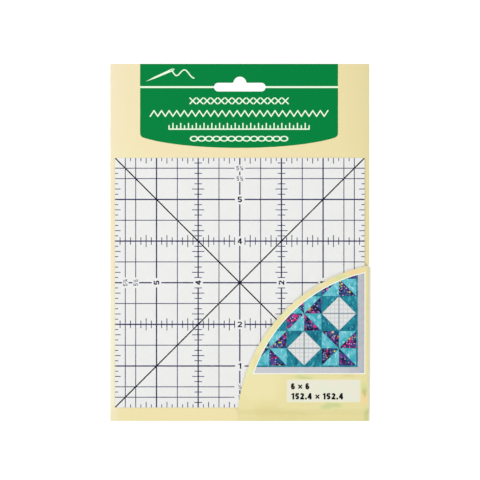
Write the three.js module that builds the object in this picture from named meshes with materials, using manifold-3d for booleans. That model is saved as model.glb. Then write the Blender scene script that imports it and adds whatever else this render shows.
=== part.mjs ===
// A square heat-resistant hem ruler, held by one corner in the pocket of its hanging card.
// It lies on its back: +X to the right, +Y up the card, +Z out of the front. Sizes in millimetres.
import * as THREE from "three";
import { mergeVertices } from "three/addons/utils/BufferGeometryUtils.js";
import Module from "manifold-3d";

const wasm = await Module();
wasm.setup();

// Ruler sheet
const DIVISION = 25.4; // one inch, between the scale's numbered lines
const DIVISION_COUNT = 6;
const RULER_THICKNESS = 0.85;
const RULER_CORNER = 0.5;

// Printed inch scale
const MAJOR_LINE = 0.8; // at each whole division
const MINOR_LINE = 0.5; // at each half, and near each edge
const EDGE_SHARE = 0.25; // of a division, from each edge to its nearest line
const INK = 0.05; // thickness of every printed layer

// Card
const BOARD = 0.45;
const SIDE_MARGIN = 2.8; // card beyond each side of the ruler
const FOOT_MARGIN = 8.2; // card below the ruler
const HEADER_HEIGHT = 57.4; // card above the ruler
const NOTCH_DEPTH = 0.25; // relief notch where the folded edge starts
const NOTCH_HEIGHT = 1.4;

// Pocket between the back panel and the flap
const POCKET_CLEARANCE = 0.15; // below and above the ruler
const ADHESIVE = 0.1;
const ADHESIVE_WIDTH = 2.4;
const ADHESIVE_INSET = 0.8;
const RAMP_START = 0.3; // clearance from the ruler's lower edge to the step in the flap
const RAMP_LENGTH = 4.6;
const RAMP_STEPS = 8;
const FOLD_LEG = 0.3; // flat part of the fold's section beside each panel, at its upper end
const FOLD_STEPS = 12;

// Front flap
const FLAP_WIDTH = 80;
const FLAP_RISE = 86.8; // from the foot margin up to where the arc meets the folded edge
const FLAP_BULGE = 19.2; // height of the arc over its chord
const FLAP_LIFT = 1.8; // how much higher the flap's upper end stands than its part by the ramp

// Hang slot
const SLOT_WIDTH = 31.6;
const SLOT_BAR = 5.3;
const SLOT_DROP = 14.2; // from the card's top edge to the middle of the bar
const BUMP_RADIUS = 4;
const BUMP_SINK = 0.25; // centre of the bump below the top of the bar
const BUMP_FILLET = 0.8;

// Printed header
const HEADER_HALF_WIDTH = 60.4;
const HEADER_SHIFT = -0.45; // the print's middle from the card's middle
const HEADER_DEPTH = 51.3; // from the card's top edge to the lowest point of the header
const HEADER_ARC_HEIGHT = 12.2; // half the height of the ellipse that shapes the lower edge
const HEADER_ARC_MARGIN = 6.6; // how far that ellipse would run on past each side
const HEADER_CORNER = 2.1;
const HEADER_LINE = 1.15; // pale line through the middle of the slot

// Printed picture and size label on the flap
const PICTURE_SIDE = 3.1;
const PICTURE_FOOT = 29.3;
const PICTURE_WIDTH = 67.2;
const PICTURE_HEIGHT = 61;
const PICTURE_BULGE = 11.8; // height of the picture's arc over its chord
const LABEL_WIDTH = 45.4;
const LABEL_HEIGHT = 14.3;
const LABEL_SIDE = 5.3;
const LABEL_FOOT = 11.3;
const LABEL_CORNER = 1;

// Colour and roughness of each surface
const BACK_BOARD = { color: 0xf0e3ba, roughness: 0.62 };
const FLAP_BOARD = { color: 0xe6d9a2, roughness: 0.62 };
const GLUE = { color: 0xe8e0c8, roughness: 0.4 };
const FIBRE_SHEET = { color: 0xecede9, roughness: 0.85 };
const NAVY_INK = { color: 0x3a4170, roughness: 0.5 };
const GREEN_INK = { color: 0x038341, roughness: 0.45 };
const GREY_INK = { color: 0xbfc6cb, roughness: 0.5 };
const PALE_INK = { color: 0xf0ecda, roughness: 0.5 };

const ARC_STEPS = 20;
const CURVE_STEPS = 8;
const CORNER_STEPS = 2;
const MERGE_DISTANCE = 1e-4;

// Levels, from the back face up
const rulerBase = BOARD + POCKET_CLEARANCE;
const rulerTop = rulerBase + RULER_THICKNESS;
const flapUnder = rulerTop + POCKET_CLEARANCE + INK;
const footUnder = BOARD + ADHESIVE;

// Outline of the card and of the ruler
const rulerSide = DIVISION_COUNT * DIVISION;
const cardRight = rulerSide / 2 + SIDE_MARGIN;
const cardTop = (FOOT_MARGIN + rulerSide + HEADER_HEIGHT) / 2;
const cardBottom = -cardTop;
const rulerBottom = cardBottom + FOOT_MARGIN;
const rulerLeft = -rulerSide / 2;
const slotMiddle = cardTop - SLOT_DROP;

// The fold's rounded edge takes up half of the pocket's whole height, and is widest at its upper end.
const foldRadius = (flapUnder + FLAP_LIFT + BOARD) / 2;
const foldStart = cardRight - foldRadius - FOLD_LEG;

const flapLeft = cardRight - FLAP_WIDTH;
const flapArc = arcBetween(
  new THREE.Vector2(flapLeft, rulerBottom),
  new THREE.Vector2(cardRight, rulerBottom + FLAP_RISE),
  FLAP_BULGE,
);
const foldTop = arcHeightAt(flapArc, foldStart);
const rampTop = rulerBottom - RAMP_START;
const flapSlope = FLAP_LIFT / (foldTop - rampTop);

// The arc that bulges by the given height to the left of the way from one point to the other.
function arcBetween(from, to, bulge) {
  const chord = new THREE.Vector2().subVectors(to, from);
  const half = chord.length() / 2;
  const radius = (half * half + bulge * bulge) / (2 * bulge);
  const toCentre = new THREE.Vector2(chord.y, -chord.x).setLength(radius - bulge);
  const centre = new THREE.Vector2().addVectors(from, to).multiplyScalar(0.5).add(toCentre);
  return { centre, radius };
}

function arcHeightAt(arc, x) {
  const across = x - arc.centre.x;
  return arc.centre.y + Math.sqrt(arc.radius * arc.radius - across * across);
}

// A closed mesh as a solid that can be joined and cut, and back again.
function toSolid(geometry) {
  const bare = geometry.clone();
  bare.deleteAttribute("normal");
  bare.deleteAttribute("uv");
  const merged = mergeVertices(bare, MERGE_DISTANCE);
  return new wasm.Manifold(
    new wasm.Mesh({
      numProp: 3,
      vertProperties: merged.attributes.position.array,
      triVerts: new Uint32Array(merged.index.array),
    }),
  );
}

function toGeometry(solid) {
  const { vertProperties, triVerts } = solid.getMesh();
  return closedMesh(vertProperties, Array.from(triVerts));
}

function closedMesh(positions, index) {
  const geometry = new THREE.BufferGeometry();
  geometry.setAttribute("position", new THREE.Float32BufferAttribute(positions, 3));
  geometry.setIndex(index);
  geometry.computeVertexNormals();
  return geometry;
}

function plate(shape, bottom, thickness, curveSegments = CURVE_STEPS) {
  const settings = { depth: thickness, bevelEnabled: false, curveSegments };
  return new THREE.ExtrudeGeometry(shape, settings).translate(0, 0, bottom);
}

function box(left, right, low, high, bottom, top) {
  return new THREE.BoxGeometry(right - left, high - low, top - bottom).translate(
    (left + right) / 2,
    (low + high) / 2,
    (bottom + top) / 2,
  );
}

function roundedRectangle(left, right, low, high, radius) {
  const shape = new THREE.Shape();
  shape.absarc(right - radius, low + radius, radius, -Math.PI / 2, 0);
  shape.absarc(right - radius, high - radius, radius, 0, Math.PI / 2);
  shape.absarc(left + radius, high - radius, radius, Math.PI / 2, Math.PI);
  shape.absarc(left + radius, low + radius, radius, Math.PI, Math.PI * 1.5);
  return shape;
}

function makeMesh(name, geometry, surface) {
  const material = new THREE.MeshStandardMaterial({ ...surface, metalness: 0 });
  const mesh = new THREE.Mesh(geometry, material);
  mesh.name = name;
  return mesh;
}

// A bar with round ends, and a round bump over its middle that blends into it with small fillets.
function slotShape() {
  const endRadius = SLOT_BAR / 2;
  const endX = SLOT_WIDTH / 2 - endRadius;
  const barTop = slotMiddle + endRadius;
  const bumpY = barTop - BUMP_SINK;
  const rise = BUMP_FILLET + BUMP_SINK;
  const reach = Math.sqrt((BUMP_RADIUS + BUMP_FILLET) ** 2 - rise ** 2);
  const lean = Math.atan2(rise, reach);
  const shape = new THREE.Shape();
  shape.absarc(endX, slotMiddle, endRadius, -Math.PI / 2, Math.PI / 2);
  shape.absarc(reach, barTop + BUMP_FILLET, BUMP_FILLET, -Math.PI / 2, Math.PI + lean, true);
  shape.absarc(0, bumpY, BUMP_RADIUS, lean, Math.PI - lean);
  shape.absarc(-reach, barTop + BUMP_FILLET, BUMP_FILLET, -lean, -Math.PI / 2, true);
  shape.absarc(-endX, slotMiddle, endRadius, Math.PI / 2, Math.PI * 1.5);
  return shape;
}

// The whole card, less the strip that the side fold takes over below the relief notch.
function makeBackPanel() {
  const shape = new THREE.Shape();
  shape.moveTo(-cardRight, cardBottom);
  shape.lineTo(foldStart, cardBottom);
  shape.lineTo(foldStart, foldTop);
  shape.lineTo(cardRight - NOTCH_DEPTH, foldTop);
  shape.lineTo(cardRight - NOTCH_DEPTH, foldTop + NOTCH_HEIGHT);
  shape.lineTo(cardRight, foldTop + NOTCH_HEIGHT);
  shape.lineTo(cardRight, cardTop);
  shape.lineTo(-cardRight, cardTop);
  shape.holes.push(slotShape());
  return makeMesh("back_panel", plate(shape, 0, BOARD), BACK_BOARD);
}

// Underside of the flap at each step up the card: pressed down on the glue, up a ramp to clear the
// ruler, and from there in a gentle rise to the upper end, where nothing holds it down.
function flapProfile() {
  const stations = [{ y: cardBottom, under: footUnder }];
  for (let i = 0; i <= RAMP_STEPS; i++) {
    const t = i / RAMP_STEPS;
    const ease = t * t * (3 - 2 * t);
    stations.push({
      y: rampTop - RAMP_LENGTH * (1 - t),
      under: footUnder + (flapUnder - footUnder) * ease,
    });
  }
  stations.push({ y: foldTop, under: flapUnder + FLAP_LIFT });
  return stations;
}

function flapOutline() {
  const { centre, radius } = flapArc;
  const angleTo = (x, y) => Math.atan2(y - centre.y, x - centre.x);
  const arcStart = angleTo(foldStart, foldTop);
  const shape = new THREE.Shape();
  shape.absarc(centre.x, centre.y, radius, arcStart, angleTo(flapLeft, rulerBottom));
  shape.lineTo(flapLeft, cardBottom);
  shape.lineTo(foldStart, cardBottom);
  return shape;
}

// The flap's side view, pushed across the card, and trimmed to its outline.
function makeFrontFlap() {
  const stations = flapProfile();
  const side = new THREE.Shape();
  side.moveTo(cardBottom, footUnder + BOARD);
  stations.forEach(({ y, under }) => side.lineTo(y, under));
  stations.reverse().forEach(({ y, under }) => side.lineTo(y, under + BOARD));
  const upright = new THREE.Matrix4().makeBasis(
    new THREE.Vector3(0, 1, 0),
    new THREE.Vector3(0, 0, 1),
    new THREE.Vector3(1, 0, 0),
  );
  const band = plate(side, flapLeft, foldStart - flapLeft).applyMatrix4(upright);
  const outline = plate(flapOutline(), 0, flapUnder + FLAP_LIFT + 2 * BOARD, ARC_STEPS);
  const trimmed = toSolid(band).intersect(toSolid(outline));
  return makeMesh("front_flap", toGeometry(trimmed), FLAP_BOARD);
}

// Section of the fold where its whole height is given: a leg, a half ring and a leg.
function foldSection(height) {
  const radius = height / 2;
  const centreX = cardRight - radius;
  const outer = [];
  const inner = [];
  for (let i = 0; i <= FOLD_STEPS; i++) {
    const turn = Math.PI * (i / FOLD_STEPS - 0.5);
    const along = Math.cos(turn);
    const up = Math.sin(turn);
    outer.push([centreX + radius * along, radius + radius * up]);
    inner.push([centreX + (radius - BOARD) * along, radius + (radius - BOARD) * up]);
  }
  return [
    [foldStart, 0],
    ...outer,
    [foldStart, height],
    [foldStart, height - BOARD],
    ...inner.reverse(),
    [foldStart, BOARD],
  ];
}

// The rounded edge that joins the back panel to the flap, lofted up the card.
function makeSideFold() {
  const stations = flapProfile();
  const sections = stations.map(({ under }) => foldSection(under + BOARD));
  const count = sections[0].length;
  const positions = [];
  const index = [];
  sections.forEach((section, s) => {
    section.forEach(([x, z]) => positions.push(x, stations[s].y, z));
  });
  for (let s = 0; s + 1 < sections.length; s++) {
    for (let i = 0; i < count; i++) {
      const a = s * count + i;
      const b = s * count + ((i + 1) % count);
      index.push(a, a + count, b, b, a + count, b + count);
    }
  }
  const contour = sections[0].map(([x, z]) => new THREE.Vector2(x, z));
  const lastRow = (sections.length - 1) * count;
  THREE.ShapeUtils.triangulateShape(contour, []).forEach(([a, b, c]) => {
    index.push(a, b, c);
    index.push(lastRow + a, lastRow + c, lastRow + b);
  });
  return makeMesh("side_fold", closedMesh(positions, index), FLAP_BOARD);
}

function makeAdhesive() {
  const low = cardBottom + ADHESIVE_INSET;
  const left = flapLeft + ADHESIVE_INSET;
  const right = foldStart - ADHESIVE_INSET;
  const strip = box(left, right, low, low + ADHESIVE_WIDTH, BOARD, BOARD + ADHESIVE);
  return makeMesh("flap_adhesive", strip, GLUE);
}

function rulerShape() {
  const top = rulerBottom + rulerSide;
  return roundedRectangle(rulerLeft, -rulerLeft, rulerBottom, top, RULER_CORNER);
}

function makeRulerSheet() {
  const sheet = plate(rulerShape(), rulerBase, RULER_THICKNESS, CORNER_STEPS);
  return makeMesh("ruler_sheet", sheet, FIBRE_SHEET);
}

// The scale's lines, as one film that reaches the sheet's edges. The sheet is divided into strips
// both ways, every second strip is a line, and a cell is inked where a line of either way crosses it.
function makeScaleGrid() {
  const halves = Array.from({ length: 2 * DIVISION_COUNT - 1 }, (_, i) => (i + 1) / 2);
  const edges = [0];
  [EDGE_SHARE, ...halves, DIVISION_COUNT - EDGE_SHARE].forEach((n) => {
    const half = (Number.isInteger(n) ? MAJOR_LINE : MINOR_LINE) / 2;
    edges.push(n * DIVISION - half, n * DIVISION + half);
  });
  edges.push(rulerSide);
  const rows = edges.length;
  const positions = [rulerTop, rulerTop + INK].flatMap((z) =>
    edges.flatMap((up) => edges.flatMap((across) => [rulerLeft + across, rulerBottom + up, z])),
  );
  const corner = (i, j, level) => (level * rows + j) * rows + i;
  const inside = (i) => i >= 0 && i < rows - 1;
  const isInked = (i, j) => inside(i) && inside(j) && (i % 2 === 1 || j % 2 === 1);
  const index = [];
  const quad = (a, b, c, d) => index.push(a, b, c, a, c, d);
  const wall = (i, j, k, l) => quad(corner(i, j, 0), corner(k, l, 0), corner(k, l, 1), corner(i, j, 1));
  for (let j = 0; j < rows - 1; j++) {
    for (let i = 0; i < rows - 1; i++) {
      if (!isInked(i, j)) continue;
      quad(corner(i, j, 1), corner(i + 1, j, 1), corner(i + 1, j + 1, 1), corner(i, j + 1, 1));
      quad(corner(i, j, 0), corner(i, j + 1, 0), corner(i + 1, j + 1, 0), corner(i + 1, j, 0));
      if (!isInked(i, j - 1)) wall(i, j, i + 1, j);
      if (!isInked(i + 1, j)) wall(i + 1, j, i + 1, j + 1);
      if (!isInked(i, j + 1)) wall(i + 1, j + 1, i, j + 1);
      if (!isInked(i - 1, j)) wall(i, j + 1, i, j);
    }
  }
  return makeMesh("scale_grid_print", closedMesh(positions, index), NAVY_INK);
}

// Outline of the green header: straight down both sides, then a shallow elliptical arc between
// rounded corners.
function headerShape() {
  const side = HEADER_HALF_WIDTH;
  const arcHalfWidth = side + HEADER_ARC_MARGIN;
  const centreY = cardTop - HEADER_DEPTH + HEADER_ARC_HEIGHT;
  const turnAt = (x) => Math.asin(x / arcHalfWidth);
  const arcY = (x) => centreY - HEADER_ARC_HEIGHT * Math.cos(turnAt(x));
  const arcEnd = side - HEADER_CORNER;
  const turn = turnAt(arcEnd);
  const foot = -Math.PI / 2;
  const shape = new THREE.Shape();
  shape.moveTo(-side, cardTop);
  shape.lineTo(-side, arcY(side) + HEADER_CORNER);
  shape.quadraticCurveTo(-side, arcY(side), -arcEnd, arcY(arcEnd));
  shape.absellipse(0, centreY, arcHalfWidth, HEADER_ARC_HEIGHT, foot - turn, foot + turn);
  shape.quadraticCurveTo(side, arcY(side), side, arcY(side) + HEADER_CORNER);
  shape.lineTo(side, cardTop);
  return shape;
}

// The header in two fields, above and below the pale line that runs through the slot.
function makeHeaderPrints() {
  const film = plate(headerShape(), BOARD, INK, ARC_STEPS / 2).translate(HEADER_SHIFT, 0, 0);
  const whole = toSolid(film);
  const slot = toSolid(plate(slotShape(), 0, 2 * BOARD));
  const printed = whole.subtract(slot);
  const field = (name, low, high) => {
    const band = toSolid(box(-cardRight, cardRight, low, high, 0, 2 * BOARD));
    return makeMesh(name, toGeometry(printed.intersect(band)), GREEN_INK);
  };
  return [
    field("header_upper_print", slotMiddle + HEADER_LINE / 2, cardTop + BOARD),
    field("header_lower_print", cardTop - HEADER_DEPTH - BOARD, slotMiddle - HEADER_LINE / 2),
  ];
}

// A printed film on the flap, which it follows as it rises.
function filmOnFlap(shape, curveSegments) {
  const rise = new THREE.Matrix4().makeShear(0, 0, 0, flapSlope, 0, 0);
  const height = flapUnder + BOARD - rampTop * flapSlope;
  return plate(shape, 0, INK, curveSegments).applyMatrix4(rise).translate(0, 0, height);
}

// The picture's field: two straight sides, and an arc a little flatter than the flap's own.
function makePicturePrint() {
  const low = cardBottom + PICTURE_FOOT;
  const right = cardRight - PICTURE_SIDE;
  const lowEnd = new THREE.Vector2(right - PICTURE_WIDTH, low);
  const highEnd = new THREE.Vector2(right, low + PICTURE_HEIGHT);
  const { centre, radius } = arcBetween(lowEnd, highEnd, PICTURE_BULGE);
  const start = Math.atan2(highEnd.y - centre.y, highEnd.x - centre.x);
  const end = Math.atan2(lowEnd.y - centre.y, lowEnd.x - centre.x);
  const shape = new THREE.Shape();
  shape.absarc(centre.x, centre.y, radius, start, end);
  shape.lineTo(right, low);
  return makeMesh("picture_print", filmOnFlap(shape, ARC_STEPS), GREY_INK);
}

function makeLabelPrint() {
  const right = cardRight - LABEL_SIDE;
  const low = cardBottom + LABEL_FOOT;
  const shape = roundedRectangle(right - LABEL_WIDTH, right, low, low + LABEL_HEIGHT, LABEL_CORNER);
  return makeMesh("size_label_print", filmOnFlap(shape, CORNER_STEPS), PALE_INK);
}

const ruler = new THREE.Group();
ruler.add(makeRulerSheet(), makeScaleGrid());

const card = new THREE.Group();
card.add(makeBackPanel(), makeSideFold(), makeFrontFlap(), makeAdhesive());
card.add(...makeHeaderPrints(), makePicturePrint(), makeLabelPrint());

const group = new THREE.Group();
group.add(card, ruler);

export default group;
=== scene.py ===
"""Looks of a six inch hem ruler whose corner sits in the pocket of its printed hanging card."""
import math

import bpy
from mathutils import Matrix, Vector
from mathutils.geometry import delaunay_2d_cdt


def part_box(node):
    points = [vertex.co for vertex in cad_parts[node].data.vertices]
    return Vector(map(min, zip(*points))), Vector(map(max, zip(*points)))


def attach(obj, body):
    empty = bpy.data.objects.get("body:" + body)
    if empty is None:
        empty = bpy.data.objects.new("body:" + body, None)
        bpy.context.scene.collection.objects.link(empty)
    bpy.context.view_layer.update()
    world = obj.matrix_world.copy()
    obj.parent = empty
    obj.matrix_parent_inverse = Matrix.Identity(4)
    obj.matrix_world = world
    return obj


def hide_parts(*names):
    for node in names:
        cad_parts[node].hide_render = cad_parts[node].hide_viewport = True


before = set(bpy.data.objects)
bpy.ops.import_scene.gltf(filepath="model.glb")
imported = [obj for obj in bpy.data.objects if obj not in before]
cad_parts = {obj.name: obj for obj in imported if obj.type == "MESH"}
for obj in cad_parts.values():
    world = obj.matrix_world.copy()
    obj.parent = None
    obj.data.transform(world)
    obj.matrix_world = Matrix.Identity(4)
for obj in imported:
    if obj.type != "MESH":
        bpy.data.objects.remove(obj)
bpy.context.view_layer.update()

# Outlines are written in millimetres and become metres where a mesh is made.
MM = 0.001
QUARTER = math.pi / 2
MERGE_DISTANCE = 1e-4
CLOSE = 1e-2  # how far above the fold a point still counts as on it
CORNER_STEPS = 6
OVAL_STEPS = 24
BEYOND = 1  # how far a helper outline runs past what it divides


def box_mm(node):
    low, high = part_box(node)
    return low / MM, high / MM


panel_low, panel_high = box_mm("back_panel")
flap_low, flap_high = box_mm("front_flap")
sheet_low, sheet_high = box_mm("ruler_sheet")
header_low, header_high = box_mm("header_lower_print")
picture_low, picture_high = box_mm("picture_print")
label_low, label_high = box_mm("size_label_print")

# Board
BOARD = panel_high.z
SOFT_EDGE = 0.07  # rounding of the board's cut edges
EDGE_TURNS = (30, 90)  # degrees on that rounding where it has points
SHARP_ANGLE = 20  # degrees between two faces from which their edge is drawn sharp
NOTCH_DEPTH = 0.25
NOTCH_HEIGHT = 1.4
FOLD_STRIP = 4  # width of the folded strip while the board is still flat
FOLD_COLUMNS = 30
BOARD_GRAIN = 0.22  # size of the grain in its print
RAMP_START = 0.3  # clearance from the ruler's lower edge to the step in the flap
RAMP_LENGTH = 4.6
RAMP_ROWS = 18
FLAP_RISE = 86.8
FLAP_BULGE = 19.2
FLAP_STEPS = 72
FLAP_LIFT = 1.8  # how much higher the flap's upper end stands than its part by the ramp

# Ruler sheet
SHEET_CORNER = 0.5
SHEET_EDGE = 0.1  # rounding of its cut edges

# Hang slot
SLOT_WIDTH = 31.6
SLOT_BAR = 5.3
SLOT_DROP = 14.2
BUMP_RADIUS = 4
BUMP_SINK = 0.25
BUMP_FILLET = 0.8
END_STEPS = 16
BUMP_STEPS = 24

# Printed layers are films on top of each other.
FILM = 0.014

# Header print
HEADER_LINE = 1.15  # pale line through the middle of the slot
STITCH_REACH = 1.75  # half the height of each row of stitches
STITCH_WIDTH = 0.75  # of the thread
CROSS_ROW = (86.4, 60, 4.5)  # height on the card, width and pitch of each row of stitches
ZIGZAG_ROW = (78.7, 108.5, 2.3)
BLANKET_ROW = (70.9, 85.5, 2.4)
CHAIN_ROW = (63.3, 60, 4.4)
SHORT_STITCH = 0.2  # top of every other blanket stitch, as a share of half the row's height
LINK_LENGTH = 5.2
LINK_HOLE = 3.3
LINK_RIM = 0.9  # of the stitches' width
CHAIN_INSET = 5  # what the two outer links take of the row's width
NEEDLE_POINT = (-57, 98.2)  # from the header's middle, and its height on the card
NEEDLE_EYE = (-41, 105.2)
NEEDLE_TAPER = 6  # from the point to where the needle has its full width
NEEDLE_WIDTHS = (0.55, 0.8, 0.35)  # half its width after the taper, at the eye and at its end
NEEDLE_HEAD = 1.6  # from the middle of the eye to the needle's end
EYE_HOLE = (1.1, 0.34)
THREAD_WAY = (13.5, -3.4)  # from the eye to the thread's end
THREAD_SWAY = 3
THREAD_WAVES = 1.25
THREAD_STEPS = 24

# Picture and size label on the flap
PICTURE_BULGE = 11.8
PICTURE_STEPS = 64
PICTURE_GRAIN = 0.006
KEYLINE = 0.55  # white edge round the picture
QUILT_SIDE = 4.9  # from the picture's right edge to the patches
QUILT_FOOT = 4.6  # from its lower edge to them
QUILT_UNIT = 10.6  # half a block
QUILT_BLOCKS = 4  # in each row and column
BINDING = 0.9  # teal edge round the patches
SEAM = 0.22
LABEL_CORNER = 1.0
LABEL_FADE = 0.8  # how far in from its edges the label is pale
LABEL_HEIGHT = 3.9
LABEL_WEIGHT = 0.28
LABEL_UPPER = (4.3, (4.1, 8.5, 12.9))  # from the top to the row, from the left to each figure
LABEL_LOWER = (3.9, (9.3, 19, 28.4))  # from the foot to the row, from the left to each figure

# Inch scale
DIVISION = 25.4
DIVISION_COUNT = 6
EDGE_SHARE = 0.25  # of a division, from each edge to its nearest line
EIGHTHS = 8
MAJOR_LINE = 0.8
MINOR_LINE = 0.5
DIAGONAL_LINE = 0.78
TICK_LINE = 0.5
EDGE_TICK = 2.0
EDGE_TICK_LONG = 3.5
CROSS_TICK = 2.3
CROSS_TICK_LONG = 3.7
LINE_DIVISIONS = [EDGE_SHARE, *[n / 2 for n in range(1, 2 * DIVISION_COUNT)],
                  DIVISION_COUNT - EDGE_SHARE]
TICKED_DIVISIONS = (2, 4)
# The numbers on the middle lines, by their places in inches
NUMBERS = {n: str(n) for n in (1, 2, 4, 5)}
FRACTIONS = {0.25: "1/4", 0.5: "1/2", 5.5: "5 1/2", 5.75: "5 3/4"}
NUMERAL_HEIGHT = 3.5
NUMERAL_WEIGHT = 0.2  # of the numeral's height, as the other weights are
NUMERAL_STRETCH = 1.25
NUMERAL_GAP = 2.9
FRACTION_HEIGHT = 2.6
FRACTION_WEIGHT = 0.15
FRACTION_GAP_ACROSS = 3.25
FRACTION_GAP_ALONG = 2.05

card_right = panel_high.x
card_top = panel_high.y
card_bottom = panel_low.y
ruler_bottom = sheet_low.y
fold_start = flap_high.x
fold_top = flap_high.y
flap_under = flap_high.z - BOARD - FLAP_LIFT  # at the top of the ramp
foot_under = flap_low.z
ramp_top = ruler_bottom - RAMP_START
turned_over = 2 * fold_start + FOLD_STRIP  # a flap spot's places flat and folded, added up
slot_middle = card_top - SLOT_DROP
header_middle = (header_low.x + header_high.x) / 2
quilt_right = picture_high.x - QUILT_SIDE
quilt_low = picture_low.y + QUILT_FOOT


# Outlines

def oval_arc(centre, half_width, half_height, start, end, steps):
    """Points along an elliptic arc, both ends included; angles in radians."""
    turns = [start + (end - start) * i / steps for i in range(steps + 1)]
    return [(centre[0] + half_width * math.cos(t), centre[1] + half_height * math.sin(t))
            for t in turns]


def arc(centre, radius, start, end, steps):
    return oval_arc(centre, radius, radius, start, end, steps)


def ellipse(centre, half_width, half_height):
    return oval_arc(centre, half_width, half_height, 0, 2 * math.pi, OVAL_STEPS)[:-1]


def rectangle(left, right, low, high):
    return [(left, low), (right, low), (right, high), (left, high)]


def rounded_box(low, high, radius, inset=0):
    """Outline of a box with round corners, set inwards by the inset."""
    xs, ys = (low.x + radius, high.x - radius), (low.y + radius, high.y - radius)
    corners = (xs[1], ys[0]), (xs[1], ys[1]), (xs[0], ys[1]), (xs[0], ys[0])
    return [point for i, corner in enumerate(corners)
            for point in arc(corner, radius - inset, (i - 1) * QUARTER, i * QUARTER, CORNER_STEPS)]


def capsule(start, end, width):
    """Outline of a straight stroke with round ends."""
    along = math.atan2(end[1] - start[1], end[0] - start[0])
    return [
        *arc(end, width / 2, along - QUARTER, along + QUARTER, CORNER_STEPS),
        *arc(start, width / 2, along + QUARTER, along + 3 * QUARTER, CORNER_STEPS),
    ]


def ribbon(path, width):
    """Outline of a stroke along a path, with square ends."""
    spots = [Vector(point) for point in path]
    ways = [(b - a).normalized() for a, b in zip(spots, spots[1:])]
    left, right = [], []
    for i, spot in enumerate(spots):
        before, after = ways[max(i - 1, 0)], ways[min(i, len(ways) - 1)]
        middle = (before + after).normalized()
        side = Vector((-middle.y, middle.x)) * width / 2 / max(middle.dot(before), 0.5)
        left.append(tuple(spot + side))
        right.append(tuple(spot - side))
    return right + left[::-1]


def circle_through(start, end, bulge):
    """Centre and radius of the arc that bulges that far to the left of start to end."""
    chord = Vector(end) - Vector(start)
    half = chord.length / 2
    radius = (half * half + bulge * bulge) / (2 * bulge)
    to_centre = Vector((chord.y, -chord.x)).normalized() * (radius - bulge)
    return (Vector(start) + Vector(end)) / 2 + to_centre, radius


def slot_outline():
    """A bar with round ends, and a round bump over its middle."""
    end_radius = SLOT_BAR / 2
    end_x = SLOT_WIDTH / 2 - end_radius
    bar_top = slot_middle + end_radius
    bump_y = bar_top - BUMP_SINK
    rise = BUMP_FILLET + BUMP_SINK
    reach = math.sqrt((BUMP_RADIUS + BUMP_FILLET) ** 2 - rise ** 2)
    lean = math.atan2(rise, reach)
    fillet_y = bar_top + BUMP_FILLET
    return [
        *arc((end_x, slot_middle), end_radius, -QUARTER, QUARTER, END_STEPS),
        *arc((reach, fillet_y), BUMP_FILLET, -QUARTER, -math.pi + lean, CORNER_STEPS),
        *arc((0, bump_y), BUMP_RADIUS, lean, math.pi - lean, BUMP_STEPS),
        *arc((-reach, fillet_y), BUMP_FILLET, -lean, -QUARTER, CORNER_STEPS),
        *arc((-end_x, slot_middle), end_radius, QUARTER, 3 * QUARTER, END_STEPS),
    ]


# Meshes from outlines

def signed_area(loop):
    pairs = zip(loop, loop[1:] + loop[:1])
    return sum(a[0] * b[1] - b[0] * a[1] for a, b in pairs) / 2


def divide_plane(shapes):
    """Divides the plane along the outlines of the given shapes.

    Each shape is a tag and its loops, and what an even number of its loops holds is a hole in it.
    Returns the points, and each triangle with the set of the tags that cover it.
    """
    points, faces, owners = [], [], []
    for number, (_, loops) in enumerate(shapes):
        for loop in loops:
            ordered = loop if signed_area(loop) > 0 else loop[::-1]
            first = len(points)
            points.extend(Vector(point) for point in ordered)
            faces.append(list(range(first, len(points))))
            owners.append(number)
    points, _, triangles, _, _, origins = delaunay_2d_cdt(points, [], faces, 1, MERGE_DISTANCE)
    cells = []
    for triangle, origin in zip(triangles, origins):
        covers = [owners[face] for face in origin]
        tags = {shapes[n][0] for n in set(covers) if covers.count(n) % 2}
        if tags:
            cells.append((tuple(triangle), tags))
    return points, cells


def boundary_of(triangles):
    """The edges with a triangle on one side only, in the order that the triangle has them."""
    edges = {(a, b) for t in triangles for a, b in zip(t, t[1:] + t[:1])}
    return [edge for edge in sorted(edges) if edge[::-1] not in edges]


def inward_steps(points, boundary):
    """For each point on the boundary, the move that sets both of its edges back by one unit."""
    normals = {}
    for a, b in boundary:
        way = (points[b] - points[a]).normalized()
        for point in (a, b):
            normals.setdefault(point, []).append(Vector((-way.y, way.x)))
    steps = {}
    for point, sides in normals.items():
        middle = sum(sides, Vector((0, 0)))
        steps[point] = middle * 2 / max(middle.length_squared, 1)
    return steps


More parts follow.
